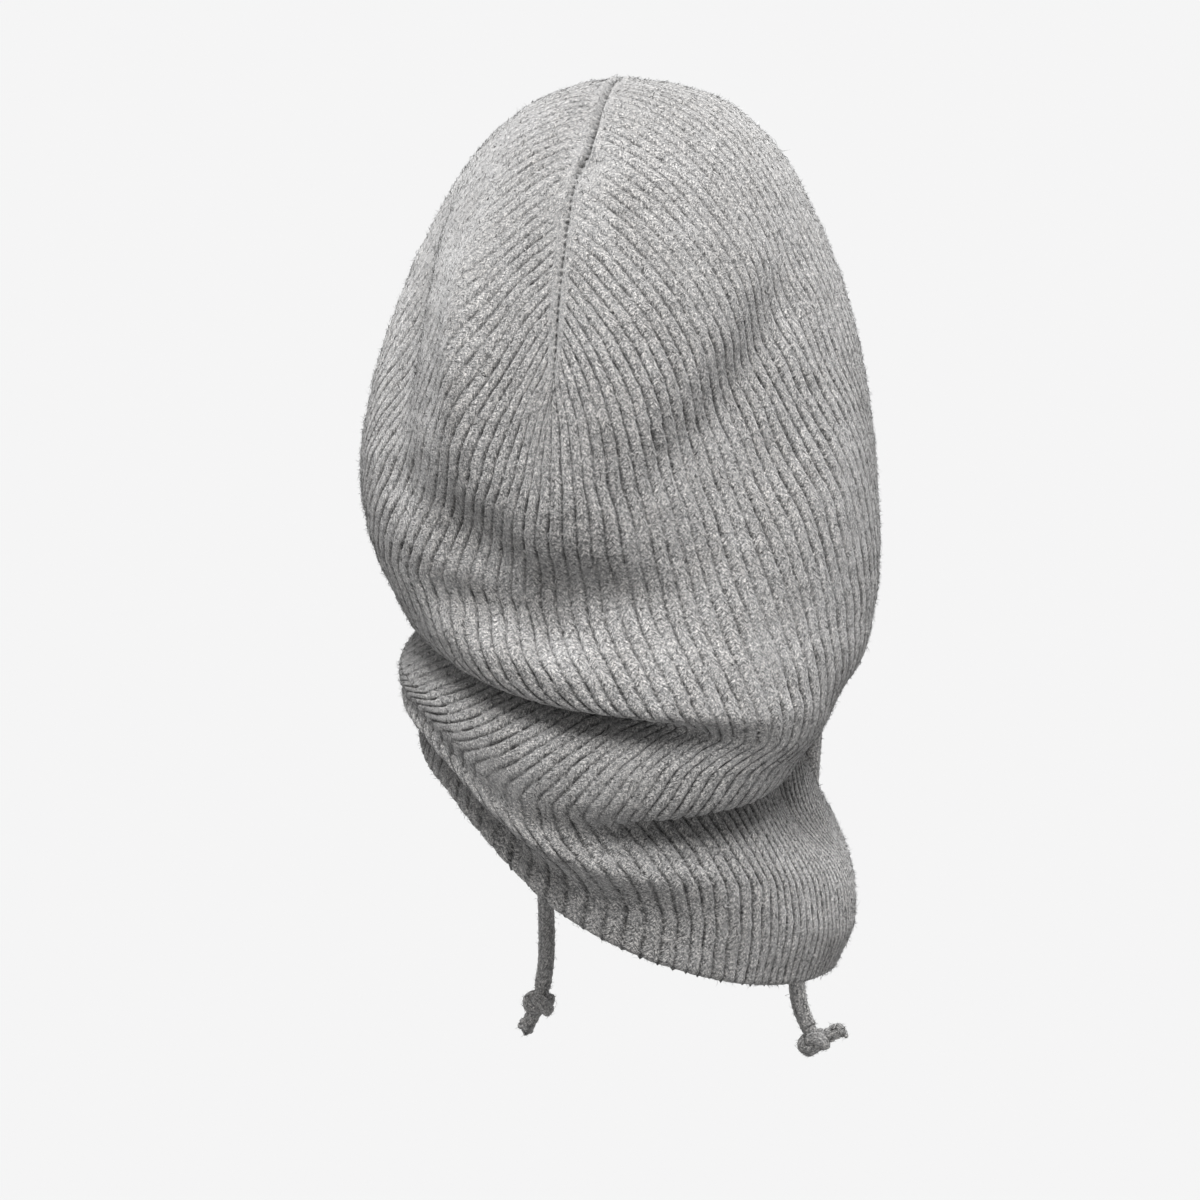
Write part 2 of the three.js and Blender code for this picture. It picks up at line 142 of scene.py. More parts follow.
# The ribs of one side, from the back to the front. The first of them end on the crown seam, and the
# others would cross the face opening.
RIBS_SIDE = 76
RIBS_ON_SEAM = 56
# Drops where the ways of the ribs start in front and at the chin, and where they have turned to run
# straight down. Then the pull of a way's ends, its sag from the seam, and its points.
WAYS = {
    "front_start": 0.112,
    "chin_start": 0.262,
    "straight": 0.215,
    "later_in_front": 0.06,
    "pull": 0.36,
    "sag": 0.1,
    "half_count": 210,
}

# How far the twisted folds turn the ribs round the head, in degrees towards the wearer's left: a row for
# each of some drops, with a column for each of these azimuths.
TWIST_AZIMUTHS = (-180, -135, -90, -70, -50, -29, -12, 0, 10, 24, 40, 60, 90, 135)
TWIST = {
    0.090: (0, 0, 0, 0, 0, 0, 0, 0, 0, 0, 0, 0, 0, 0),
    0.130: (0, -4, -8, -5, -1, 0, 0, 0, 0, 0, 2, 4, 6, 3),
    0.160: (0, -6, -12, -9, -3, 0, 1, 0, -1, 0, 4, 7, 9, 5),
    0.180: (0, -8, -16, -15, -7, 0, 2, 1, 0, 2, 9, 12, 12, 6),
    0.200: (0, -11, -22, -23, -11, -1, 3, 2, 1, 4, 14, 17, 15, 7),
    0.225: (0, -14, -28, -31, -17, -6, 1, 4, 6, 10, 22, 25, 19, 9),
    0.246: (0, -17, -34, -37, -22, -10, -2, 5, 9, 16, 28, 30, 22, 10),
    0.275: (0, -19, -37, -39, -26, -16, -10, -5, 1, 10, 26, 28, 20, 9),
    0.283: (0, -19, -37, -39, -26, -17, -13, -11, -7, 1, 19, 27, 20, 9),
    0.291: (0, -16, -30, -33, -25, -17, -17, -20, -17, -7, 13, 27, 21, 10),
    0.316: (0, -9, -15, -16, -12, -2, 3, 9, 17, 27, 37, 36, 26, 13),
    0.334: (0, -8, -13, -14, -14, -10, -2, 9, 19, 29, 38, 37, 27, 13),
    0.350: (0, -9, -16, -19, -20, -20, -10, 5, 16, 28, 36, 36, 27, 13),
    0.368: (0, -9, -17, -21, -22, -21, -14, 0, 13, 26, 34, 34, 27, 13),
    0.387: (0, -9, -17, -21, -22, -21, -13, 2, 15, 27, 34, 34, 27, 14),
}

# A rib's relief: rounded shoulders and a narrow cut at each valley, whose widths are shares of the rib.
RIB = {
    "width": 0.0046,
    "rise": 0.0002,
    "shoulder": 0.0003,
    "shoulder_width": 0.26,
    "cut": 0.00115,
    "cut_width": 0.1,
}
# How far the ribs stray from their ways, in degrees, and where that fades. Their long and short bends
# have a length along the rib and a rate of change from rib to rib.
WANDER = 0.34
LONG_BENDS = {"length": 0.014, "rate": 0.31}
SHORT_BENDS = {"length": 0.0045, "rate": 0.9, "share": 0.4}
WANDER_FADE = {"ribs": 3, "seam": (0.004, 0.02)}
# How the felting breaks up the cuts: their mean, the change from cut to cut, and the shares and lengths
# of two patterns.
BREAKS = {"mean": 0.62, "rate": 3.7, "patterns": ((0.5, 0.0045), (0.55, 0.0019))}
# How much of the ribs shows, and how much patches and spots change it.
SHOWING = {"mean": 0.95, "limits": (0.15, 1.2)}
PATCHES = {"share": 0.4, "width": 0.026, "height": 0.034}
SPOTS = {"share": 0.35, "width": 0.009, "height": 0.013}
# The crown shows less of its ribs, and least of them on its left side.
CROWN_FADE = {"height": (-0.13, -0.05), "least": 0.35, "left": 0.4, "left_side": (0.015, 0.04)}
# Small uneven places of the felt, and how far aside of the seam the ribs begin.
UNEVEN = {"height": 0.0003, "rate": 150}
SEAM_CLEAR = (0.0032, 0.005)
# Rib places of the columns of the mesh, close together at each valley, and distances of its first
# rows from the crown seam.
OUTER = {"places": (0, 0.07, 0.17, 0.34, 0.66, 0.83, 0.93), "rows": 222}
OUTER_BANDS = ("hood_upper", "hood_middle", "hood_lower")
SHELL_PLACE = ("hood_shell", "felted_rib")
INNER = {"places": (0, 0.25, 0.5, 0.75), "rows": 92}
SEAM_ROWS = (
    0, 0.0003, 0.0006, 0.001, 0.0015, 0.0021, 0.0028, 0.0036, 0.0045, 0.0055, 0.0065, 0.0076, 0.0088
)
# Angles of the hem's rounding, for the outer face and for the inner one.
HEM_CURL = ((18, 36, 54, 72, 90, 112, 134), (30, 60, 90))

CASING = {
    "inner_edge": 0.0165,
    "outer_edge": -0.0022,
    "half_thick": 0.0044,
    "flatness": 0.75,
    "gathers": 18,
    "gather_sway": 1.2,
    "gather_height": 0.12,
    "gather_pull": 0.0008,
    "ribs": 120,
    "rib_share": 0.8,
    "rib_start": 0.003,
    "columns": 6,
    "sides": 26,
}
# The number of loose fibres, and the sizes of each one, with its slope in degrees.
FUZZ = {"outer": 42000, "lining": 10000, "casing": 8000, "drawcord": 1600, "knot": 700}
FIBRE = {
    "length": (0.0011, 0.0032),
    "long_share": 0.02,
    "long_scale": 1.8,
    "slope": (3, 34),
    "bend": 0.5,
    "droop": (-0.1, 0.5),
    "width": (0.00009, 0.00018),
    "rooted": 0.0002,
    "shade": 0.25,
}

CORD = {"diameter": 0.007, "rings": 220, "closed_end": 0.0002, "curve_steps": 24}
# The knit of a tube: its wales, the sides of its mesh, the length of a stitch and how deep it is.
CORD_KNIT = {"wales": 5, "sides": 25, "stitch": 0.0032, "depth": 0.08}
LOBE_KNIT = {"wales": 4, "sides": 20, "stitch": 0.003, "depth": 0.1}
TAIL_KNIT = {"wales": 5, "sides": 20, "stitch": 0.003, "depth": 0.12}
STRAND_KNIT = {"wales": 2, "sides": 6, "stitch": 0.0024, "depth": 0.2}
# How far the arms of a stitch's V slant, and its height on a wale and in the valleys between.
STITCH_V = {"slant": 0.45, "wale_mean": 0.7, "height": 0.5, "in_valleys": 0.3}
KNOT = {
    "lobe_scale": 0.00155,
    "strand": 0.003,
    "neck": 0.0031,
    "tail": 0.0125,
    "tail_bend": 0.002,
    "tail_size": (0.95, 1.1),
    "tail_end": (0.9, 0.72, 0.3),
    "inset": 0.0066,
    "strands": 22,
    "strand_from": (0.0008, 0.0022),
    "strand_curl": (0.35, 0.6),
    "strand_steps": (6, 10),
    "strand_step": 0.0007,
    "yarn": (0.00075, 0.0011),
}
DRAWCORDS = {
    "left": {
        "tail": (0.5, 0.1, -0.86),
        "route": (
            (0.051, -0.0826, -0.201), (0.0549, -0.0866, -0.2019), (0.058, -0.0899, -0.2046),
            (0.0599, -0.0923, -0.2105), (0.0605, -0.0938, -0.219), (0.0604, -0.0948, -0.234),
            (0.06, -0.0954, -0.25), (0.0594, -0.0958, -0.266), (0.0587, -0.096, -0.282),
            (0.058, -0.096, -0.298), (0.0573, -0.096, -0.314), (0.0566, -0.096, -0.33),
            (0.056, -0.096, -0.346), (0.0556, -0.096, -0.362), (0.056, -0.096, -0.375),
            (0.0576, -0.096, -0.386),
        ),
    },
    "right": {
        "tail": (-0.86, 0.1, 0.5),
        "route": (
            (-0.0534, -0.0873, -0.2147), (-0.0565, -0.0917, -0.2161), (-0.059, -0.0954, -0.2198),
            (-0.0603, -0.0979, -0.226), (-0.0606, -0.0992, -0.235), (-0.0603, -0.0998, -0.25),
            (-0.0596, -0.1, -0.266), (-0.0586, -0.1, -0.282), (-0.0574, -0.1, -0.298),
            (-0.0561, -0.1, -0.314), (-0.0548, -0.1, -0.33), (-0.0535, -0.1, -0.346),
            (-0.0525, -0.1, -0.362), (-0.0524, -0.1, -0.376), (-0.054, -0.1, -0.388),
            (-0.058, -0.0996, -0.3975),
        ),
    },
}

# The camera stands behind the hood, a little to its right, at the photograph's angle.
CAMERA = {"azimuth": 194, "elevation": 8, "distance": 1.9, "width_at_object": 0.48}
CAMERA_AIM = {"right": -0.008, "up": -0.2032}
CAMERA_SENSOR = 36
FLOOR = {"height": -0.75, "half_width": 60, "grey": 0.205}
LIGHT = {
    "world": 0.9,
    "overhead": 12.5,
    "overhead_angle": 45,
    "overhead_from": (-0.16, 0.5, 1.05),
}

# Each wool's tone, the strength of the lines between its stitches, and its colour's share kept under the
# painted valley shade.
WOOLS = {
    "felted_wool": {"tone": 0.156, "stitches": 0.75, "painted_valley_shade": 0.34},
    "casing_wool": {"tone": 0.153, "stitches": 0.75, "painted_valley_shade": 0.36},
    "cord_wool": {"tone": 0.19, "stitches": 0.4, "painted_valley_shade": 0.7},
}
# The ramps' greys: a place on the ramp, a tone and how warm it is. The fibres' tones are shares of
# the wool's own, and the clouds' are multiplied with its colour.
FIBRE_TONES = ((0.39, 0.2, 0.07), (0.46, 0.6, -0.02), (0.54, 1.19, 0.016), (0.63, 2.45, 0.03))
CLOUD_TONES = ((0.3, 0.9, 0.014), (0.7, 1.08, 0.006))
LOOSE_TONES = ((0.0, 0.03, 0.03), (0.3, 0.09, 0.0), (0.7, 0.2, 0.0), (1.0, 0.36, 0.01))
NOISES = {
    "fibres": {"Scale": 3.4, "Detail": 3.0, "Roughness": 0.8},
    "grain": {"Scale": 1150.0, "Detail": 2.0, "Roughness": 0.8},
    "clouds": {"Scale": 60.0, "Detail": 3.0, "Roughness": 0.5},
    "breaks": {"Scale": 1.9, "Detail": 2.0, "Roughness": 0.7},
    "felted": {"Scale": 220.0, "Detail": 2.0, "Roughness": 0.6},
}
# How a value of the material is spread: its low and high end, and what they turn into, if not 0 and 1.
SPREADS = {
    "contrast": (0.0, 0.8, 1.12, 0.7),
    "shown": (0.0, 0.8, 1.0, 0.1),
    "valley": (0.31, 0.47),
    "breaks": (0.38, 0.52, 0.08, 1.0),
    "felted": (0.4, 0.62),
    "line": (0.35, 1.0),
    "line_shade": (0.0, 1.0, 1.0, 0.6),
    "seam_shade": (0.0, 1.0, 1.0, 0.16),
}
# The stitches' slant and rate along a rib, and how far fibres and breaks are drawn out.
STITCH = {"slant": 2.6, "rate": 1.7}
DRAWN_OUT = {"fibres": 1.9, "breaks": 0.9}
MELANGE = {"fibres": 0.54, "grain": 0.46}
BUMP = {"melange": 2.6, "line": 1.5, "strength": 0.7, "distance": 0.0006}


def smoothstep(value, low, high):
    share = np.clip((value - low) / (high - low), 0, 1)
    return share * share * (3 - 2 * share)


def unit(vectors):
    return vectors / np.maximum(np.linalg.norm(vectors, axis=-1, keepdims=True), 1e-12)


def bell(value, width):
    return np.exp(-((value / width) ** 2))


# Powers that keep the value's sign.
def signed_power(value, power):
    return np.sign(value) * np.abs(value) ** power


# How far along a line its points are, where each step counts by a power of its length.
def lengths_along(points, power=1.0):
    steps = np.linalg.norm(np.diff(points, axis=0), axis=-1) ** power
    return np.concatenate([np.zeros_like(steps[:1]), np.cumsum(steps, axis=0)])


# A smooth closed curve through values that are one direction's step apart.
def around_eight(values, azimuth):
    place = ((FIRST_DIRECTION - azimuth) / DIRECTION_STEP) % len(values)
    first = np.floor(place).astype(int)
    f = place - first
    a, b, c, d = (np.asarray(values)[(first + step) % len(values)] for step in (-1, 0, 1, 2))
    bend = (2 * a - 5 * b + 4 * c - d) * f**2
    return 0.5 * (2 * b + (c - a) * f + bend + (3 * b - a - 3 * c + d) * f**3)


def dome_radius(radii, azimuth):
    left, back, right, front = radii
    side = np.sin(np.radians(azimuth))
    rear = np.cos(np.radians(azimuth))
    across = np.where(side >= 0, left, right)
    along = np.where(rear >= 0, back, front)
    return 1 / np.hypot(side / across, rear / along)


# Radius and height of each row of the cloth in each direction.
def profile_rows(azimuth):
    dome = [(dome_radius(radii, azimuth), np.full(len(azimuth), height)) for height, radii in DOME.items()]
    folds = [[around_eight(values, azimuth) for values in fold] for fold in FOLDS.values()]
    return np.array(dome + folds)


def row_drops():
    rows = profile_rows(np.arange(0, 360, 5.0))
    steps = np.linalg.norm(np.diff(rows, axis=0), axis=1).mean(1)
    return np.concatenate([[0], np.cumsum(steps)])


DROPS = row_drops()
HEM_DROP = DROPS[-1]
FOLD_START = DROPS[len(DOME)]


# Way of the profile at each row, weighed by the lengths on both sides of it.
def row_ways(rows):
    steps = np.diff(rows, axis=0)
    before = np.concatenate([steps[:1], steps])
    after = np.concatenate([steps, steps[-1:]])
    long_before = np.linalg.norm(before, axis=1, keepdims=True)
    long_after = np.linalg.norm(after, axis=1, keepdims=True)
    share = long_before / (long_before + long_after)
    return (1 - share) * before / long_before + share * after / long_after


# The smooth profile through the rows, as radius and height, at each drop and in each direction.
def profile_points(rows, ways, drop):
    row = np.clip(np.searchsorted(DROPS, drop, side="right") - 1, 0, len(DROPS) - 2)
    f = ((drop - DROPS[row]) / (DROPS[row + 1] - DROPS[row]))[:, None, None]
    length = np.linalg.norm(rows[row + 1] - rows[row], axis=1, keepdims=True)
    ends = rows[row] * (2 * f**3 - 3 * f**2 + 1) + rows[row + 1] * (3 * f**2 - 2 * f**3)
    return ends + length * (ways[row] * (f**3 - 2 * f**2 + f) + ways[row + 1] * (f**3 - f**2))


# Height of one dent or ridge at each place of the cloth.
def dent_height(dent, azimuth, drop):
    (start_azimuth, start_drop), (end_azimuth, end_drop) = dent["from"], dent["to"]
    middle = (start_azimuth + end_azimuth) / 2
    x = np.radians((azimuth - middle + 180) % 360 - 180) * DENT_RADIUS
    x0 = np.radians(start_azimuth - middle) * DENT_RADIUS
    way = np.array([np.radians(end_azimuth - start_azimuth) * DENT_RADIUS, end_drop - start_drop])
    length = np.hypot(*way)
    way = way / length
    along = (x - x0) * way[0] + (drop - start_drop) * way[1]
    across = (drop - start_drop) * way[0] - (x - x0) * way[1]
    past = along - np.clip(along, 0, length)
    fade = bell(past, DENT_END["reach"] * dent["width"])
    arch = np.sin(np.pi * np.clip(along / length, 0, 1))
    fade = fade * (DENT_END["share"] + (1 - DENT_END["share"]) * arch)
    return dent["height"] * fade * bell(across, dent["width"])


# The smooth outer face, the inner face and the outer normals, on a fine grid of drops and azimuths.
def cloth_grids():
    azimuth = np.arange(0, 360, AZIMUTH_STEP)
    drop = np.append(np.arange(0, HEM_DROP, DROP_STEP), HEM_DROP)
    rows = profile_rows(azimuth)
    ways = row_ways(rows)
    step = 0.8 * DROP_STEP
    middle = np.clip(drop, step, HEM_DROP - step)
    before, after = (profile_points(rows, ways, middle + side) for side in (-step, step))
    way = unit(np.moveaxis(after - before, 1, 2))
    out = np.stack([-way[..., 1], way[..., 0]], -1)
    lift = sum(dent_height(dent, azimuth[None], drop[:, None]) for dent in DENTS)[..., None]
    outer = np.moveaxis(profile_points(rows, ways, drop), 1, 2) + lift * out
    inner = open_up(outer, outer - WALL * out, drop)
    turn = np.radians(azimuth)[None]

    def in_space(profile):
        radius, height = profile[..., 0], profile[..., 1]
        return np.stack([radius * np.sin(turn), radius * np.cos(turn), height], -1)

    return in_space(outer), in_space(inner), grid_normals(in_space(outer), closed=True)


# Pulls the inner face out of tight lips, where a plain offset would cross itself.
def open_up(outer, inner, drop):
    folds = drop >= FOLD_START
    for column in range(inner.shape[1]):
        near = inner[folds, column][:, None] - outer[folds, column][None]
        clear = (np.hypot(near[..., 0], near[..., 1]) >= WALL - 0.0001).all(1)
        for axis in range(2):
            kept = inner[folds, column, axis][clear]
            inner[folds, column, axis] = np.interp(drop[folds], drop[folds][clear], kept)
    for _ in range(LIP_SMOOTHING):
        inner[1:-1] = (inner[:-2] + 2 * inner[1:-1] + inner[2:]) / 4
    return inner


# Normals of a grid of points, which may close on itself along its second axis.
def grid_normals(points, closed=False):
    beside = np.gradient(points, axis=1)
    if closed:
        beside = np.roll(points, -1, axis=1) - np.roll(points, 1, axis=1)
    return unit(np.cross(beside, np.gradient(points, axis=0)))


# Values of a fine grid between its points.
def sample(grid, azimuth, drop):
    column = (azimuth % 360) / AZIMUTH_STEP
    row = np.clip(drop / DROP_STEP, 0, grid.shape[0] - 1.0001)
    c0, r0 = np.floor(column).astype(int), np.floor(row).astype(int)
    fc, fr = (column - c0)[..., None], (row - r0)[..., None]
    c0 = c0 % grid.shape[1]
    c1 = (c0 + 1) % grid.shape[1]
    top = grid[r0, c0] * (1 - fc) + grid[r0, c1] * fc
    return top * (1 - fr) + (grid[r0 + 1, c0] * (1 - fc) + grid[r0 + 1, c1] * fc) * fr


OUTER_GRID, INNER_GRID, NORMAL_GRID = cloth_grids()


# Smooth random values between -1 and 1, the same ones each time. A whole number added to a place
# only takes another part of the same table.
def soft_noise(x, y, seed):
    table = np.random.default_rng(SEED + seed).uniform(-1, 1, (256, 256))
    ix, iy = np.floor(x).astype(int), np.floor(y).astype(int)
    fx, fy = smoothstep(x - ix, 0, 1), smoothstep(y - iy, 0, 1)
    near = table[ix % 256, iy % 256] * (1 - fx) + table[(ix + 1) % 256, iy % 256] * fx
    far = table[ix % 256, (iy + 1) % 256] * (1 - fx) + table[(ix + 1) % 256, (iy + 1) % 256] * fx
    return near * (1 - fy) + far * fy


# The wales' ways over the cloth laid flat round the crown: from the seam in a curve to straight down.
# Each is a list of flat places whose distance from the middle is the drop.
def flat_wales(rib):
    share = np.abs(rib) / RIBS_SIDE
    on_seam = RIBS_ON_SEAM / RIBS_SIDE
    back = SEAM["back_end"] - (SEAM["back_end"] + WAYS["front_start"]) * share / on_seam
    front = (WAYS["chin_start"] - WAYS["front_start"]) * (share - on_seam) / (1 - on_seam)
    start = np.stack([0 * share, np.where(share <= on_seam, back, -WAYS["front_start"] - front)])
    ray = np.stack([np.sin(np.pi * share), np.cos(np.pi * share)])
    end = (WAYS["straight"] + WAYS["later_in_front"] * np.clip(share - 0.5, 0, 1)) * ray
    reach = np.hypot(*(end - start))
    leave = (end - start) / reach
    leave = leave - np.stack([0 * share, WAYS["sag"] * np.clip(leave[1], 0, 1)])
    leave = leave / np.hypot(*leave)
    first = start + WAYS["pull"] * reach * leave
    second = end - WAYS["pull"] * reach * ray
    t = np.linspace(0, 1, WAYS["half_count"])[:, None, None]
    curve = (1 - t) ** 3 * start + 3 * (1 - t) ** 2 * t * first + 3 * (1 - t) * t**2 * second + t**3 * end
    down = np.linspace(0, 1, WAYS["half_count"] + 1)[1:, None, None]
    ways = np.concatenate([curve, end + (HEM_DROP * ray - end) * down])
    ways[:, 0] *= np.sign(rib)
    return ways


# The twist at every place of the cloth's fine grid.
def twist_grid():
    azimuth = np.arange(0, 360, AZIMUTH_STEP)
    drop = np.arange(OUTER_GRID.shape[0]) * DROP_STEP
    turns = [np.interp(azimuth, TWIST_AZIMUTHS, turn, period=360) for turn in TWIST.values()]
    place = np.interp(drop, list(TWIST), np.arange(len(TWIST)))
    row = np.minimum(place.astype(int), len(TWIST) - 2)
    share = (place - row)[:, None]
    grid = (1 - share) * np.array(turns)[row] + share * np.array(turns)[row + 1]
    for _ in range(TWIST_SMOOTHING["around"]):
        grid = (np.roll(grid, 1, axis=1) + 2 * grid + np.roll(grid, -1, axis=1)) / 4
    for _ in range(TWIST_SMOOTHING["down"]):
        grid[1:-1] = (grid[:-2] + 2 * grid[1:-1] + grid[2:]) / 4
    return grid[..., None]


TWIST_GRID = twist_grid()


# How far the seam's line lies towards the right of the middle, down the back.
def seam_shift(down):
    kink = KINK["drop"]
    before = smoothstep(down, 0, kink) * (1 - smoothstep(down, kink, kink + KINK["length"]))
    return KINK["aside"] * before


# Azimuth and drop of flat places, with the seam's kink and the folds' twist.
def from_flat(flat):
    across = flat[:, 0] - seam_shift(flat[:, 1]) * np.exp(-np.abs(flat[:, 0]) / KINK["reach"])
    azimuth = np.degrees(np.arctan2(across, flat[:, 1]))
    drop = np.hypot(across, flat[:, 1])
    return azimuth + sample(TWIST_GRID, azimuth, drop)[..., 0], drop


# Azimuth, drop, way above the hem and way aside from the seam for a grid of knit: rows down each wale at
# equal steps, with finer ones beside the crown seam, and the hem's rounding at the end.
def knit_places(rib, rows, curl):
    flat = flat_wales(rib)
    points = sample(OUTER_GRID, *from_flat(flat))
    length = lengths_along(points)
    first = np.array(SEAM_ROWS)
    rest = np.linspace(0, 1, rows - len(first) + 1)[1:, None]
    end = length[-1] - WALL / 2
    seam_rows = np.broadcast_to(first[:, None], (len(first), len(rib)))
    rounded = length[-1] - WALL / 2 * (1 - np.sin(curl))[:, None]
    along = np.concatenate([seam_rows, first[-1] + (end - first[-1]) * rest, rounded])
    placed = np.empty((len(along), 2, len(rib)))
    for column in range(len(rib)):
        for axis in range(2):
            placed[:, axis, column] = np.interp(along[:, column], length[:, column], flat[:, axis, column])
    azimuth, drop = from_flat(placed)
    above_hem = length[-1] - along
    inwards = np.clip(RIBS_SIDE - np.abs(rib), 0, WANDER_FADE["ribs"]) / WANDER_FADE["ribs"]
    long = soft_noise(rib * LONG_BENDS["rate"] + 200, above_hem / LONG_BENDS["length"], 1) * inwards
    short = soft_noise(rib * SHORT_BENDS["rate"] + 100, above_hem / SHORT_BENDS["length"], 2)
    bends = (long + SHORT_BENDS["share"] * short) * smoothstep(along, *WANDER_FADE["seam"])
    return azimuth + WANDER * bends, drop, above_hem, np.abs(placed[:, 0])


# Height of the ribs' relief: wide soft ridges between narrow valleys that the felting breaks up, each
# in its own way.
def rib_relief(rib, above_hem, strength=1.0):
    aside = 0.5 - np.abs(rib % 1 - 0.5)
    shoulder = bell(aside, RIB["shoulder_width"])
    cut = bell(aside, RIB["cut_width"])
    valley = np.floor(rib + 0.5) * BREAKS["rate"]
    broken = BREAKS["mean"]
    for seed, (share, length) in enumerate(BREAKS["patterns"], 3):
        broken = broken + share * soft_noise(valley, above_hem / length, seed)
    return strength * (RIB["rise"] - RIB["shoulder"] * shoulder - RIB["cut"] * cut * broken)


# How much of the ribs shows through the felting, from place to place.
def rib_strength(points):
    x, y, z = np.moveaxis(points, -1, 0)
    patches = soft_noise(x / PATCHES["width"] + 50, (z + 0.5 * y) / PATCHES["height"] + 50, 5)
    spots = soft_noise((x + 0.6 * y) / SPOTS["width"] + 90, z / SPOTS["height"] + 20, 6)
    faded = CROWN_FADE["least"] + CROWN_FADE["left"] * smoothstep(x, *CROWN_FADE["left_side"])
    crown = smoothstep(z, *CROWN_FADE["height"]) * faded
    shown = SHOWING["mean"] + PATCHES["share"] * patches + SPOTS["share"] * spots
    return np.clip(shown, *SHOWING["limits"]) * (1 - crown)


# Relief of the crown seam, how far it takes the ribs' place, and the painted shade along its crease and in
# its pinch, dashed by its stitches.
def seam_relief(aside, azimuth, drop):
    back = np.cos(np.radians(azimuth)) > 0
    end = np.where(back, SEAM["back_end"], FACE["drop"] - FACE["half_drop"])
    fade = 1 - smoothstep(drop, end - SEAM["fade"], end)
    groove = SEAM["groove_depth"] * bell(aside, SEAM["groove_width"])
    ridge = SEAM_RIDGE["height"] * bell(aside - SEAM_RIDGE["place"], SEAM_RIDGE["width"])
    wave = np.cos(2 * np.pi * drop / STITCH_LINE["pitch"])
    stitches = STITCH_LINE["mean"] + STITCH_LINE["swing"] * wave
    line = bell(aside, STITCH_LINE["width"]) * stitches
    pinched = back * smoothstep(drop, PINCH["start"], PINCH["full"])
    pinched = pinched * (1 - smoothstep(drop, PINCH["fade"], PINCH["end"]))
    pinch = bell(aside, PINCH["width"]) * pinched
    taken = fade * (1 - smoothstep(aside, *SEAM_CLEAR))
    lift = fade * (ridge - groove - STITCH_LINE["depth"] * line) - PINCH["depth"] * pinch
    painted_seam_shade = SEAM_PAINTED_SHADE["stitches"] * fade * line + SEAM_PAINTED_SHADE["pinch"] * pinch
    return lift, taken, np.clip(painted_seam_shade, 0, 1)


# Whether places of the cloth lie within the face opening, made smaller by a margin.
def in_opening(azimuth, drop, inwards):
    across = np.abs(azimuth % 360 - 180)
    across = across / (FACE["half_angle"] - inwards / DEGREE_LENGTH)
    down = np.abs(drop - FACE["drop"]) / (FACE["half_drop"] - inwards)
    return across ** FACE["power"] + down ** FACE["power"] < 1


# A surface from a grid of points and their normals: its points, faces and normals. The faces are turned
# over where the way is minus.
def grid_surface(points, normals, way):
    rows, columns = points.shape[:2]
    first = (np.arange(rows - 1)[:, None] * columns + np.arange(columns - 1)[None]).ravel()
    quads = np.stack([first, first + 1, first + columns + 1, first + columns], -1)
    if way < 0:
        quads = quads[:, ::-1]
    return points.reshape(-1, 3), quads, normals.reshape(-1, 3)


def new_object(name, data):
    thing = bpy.data.objects.new(name, data)
    bpy.context.scene.collection.objects.link(thing)
    return thing


# A mesh object from a surface, with only the points that its faces use, hung on the root body. Its place
# is the solid that it covers, whose part is hidden, and a slot that is not used.
def new_piece(name, surface, uv, material, place, marks=None):
    points, faces, normals = surface
    used, corners = np.unique(faces.ravel(), return_inverse=True)
    sides = faces.shape[1]
    mesh = bpy.data.meshes.new(name)
    mesh.vertices.add(len(used))
    mesh.vertices.foreach_set("co", points[used].astype(np.float32).ravel())
    mesh.loops.add(len(corners))
    mesh.loops.foreach_set("vertex_index", corners.astype(np.int32))
    mesh.polygons.add(len(faces))
    mesh.polygons.foreach_set("loop_start", np.arange(0, len(corners), sides, dtype=np.int32))
    mesh.update(calc_edges=True)
    layer = mesh.uv_layers.new(name="UVMap")
    layer.uv.foreach_set("vector", uv[used][corners].astype(np.float32).ravel())
    for key, values in (marks or {}).items():
        mark = mesh.attributes.new(key, "FLOAT", "POINT")
        mark.data.foreach_set("value", values.ravel()[used].astype(np.float32))
    mesh.shade_smooth()
    mesh.normals_split_custom_set_from_vertices(normals[used].astype(np.float32))
    mesh.materials.append(material)
    piece = new_object(name, mesh)
    node, slot = place
    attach(piece, "root")
    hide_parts(node)
    return piece


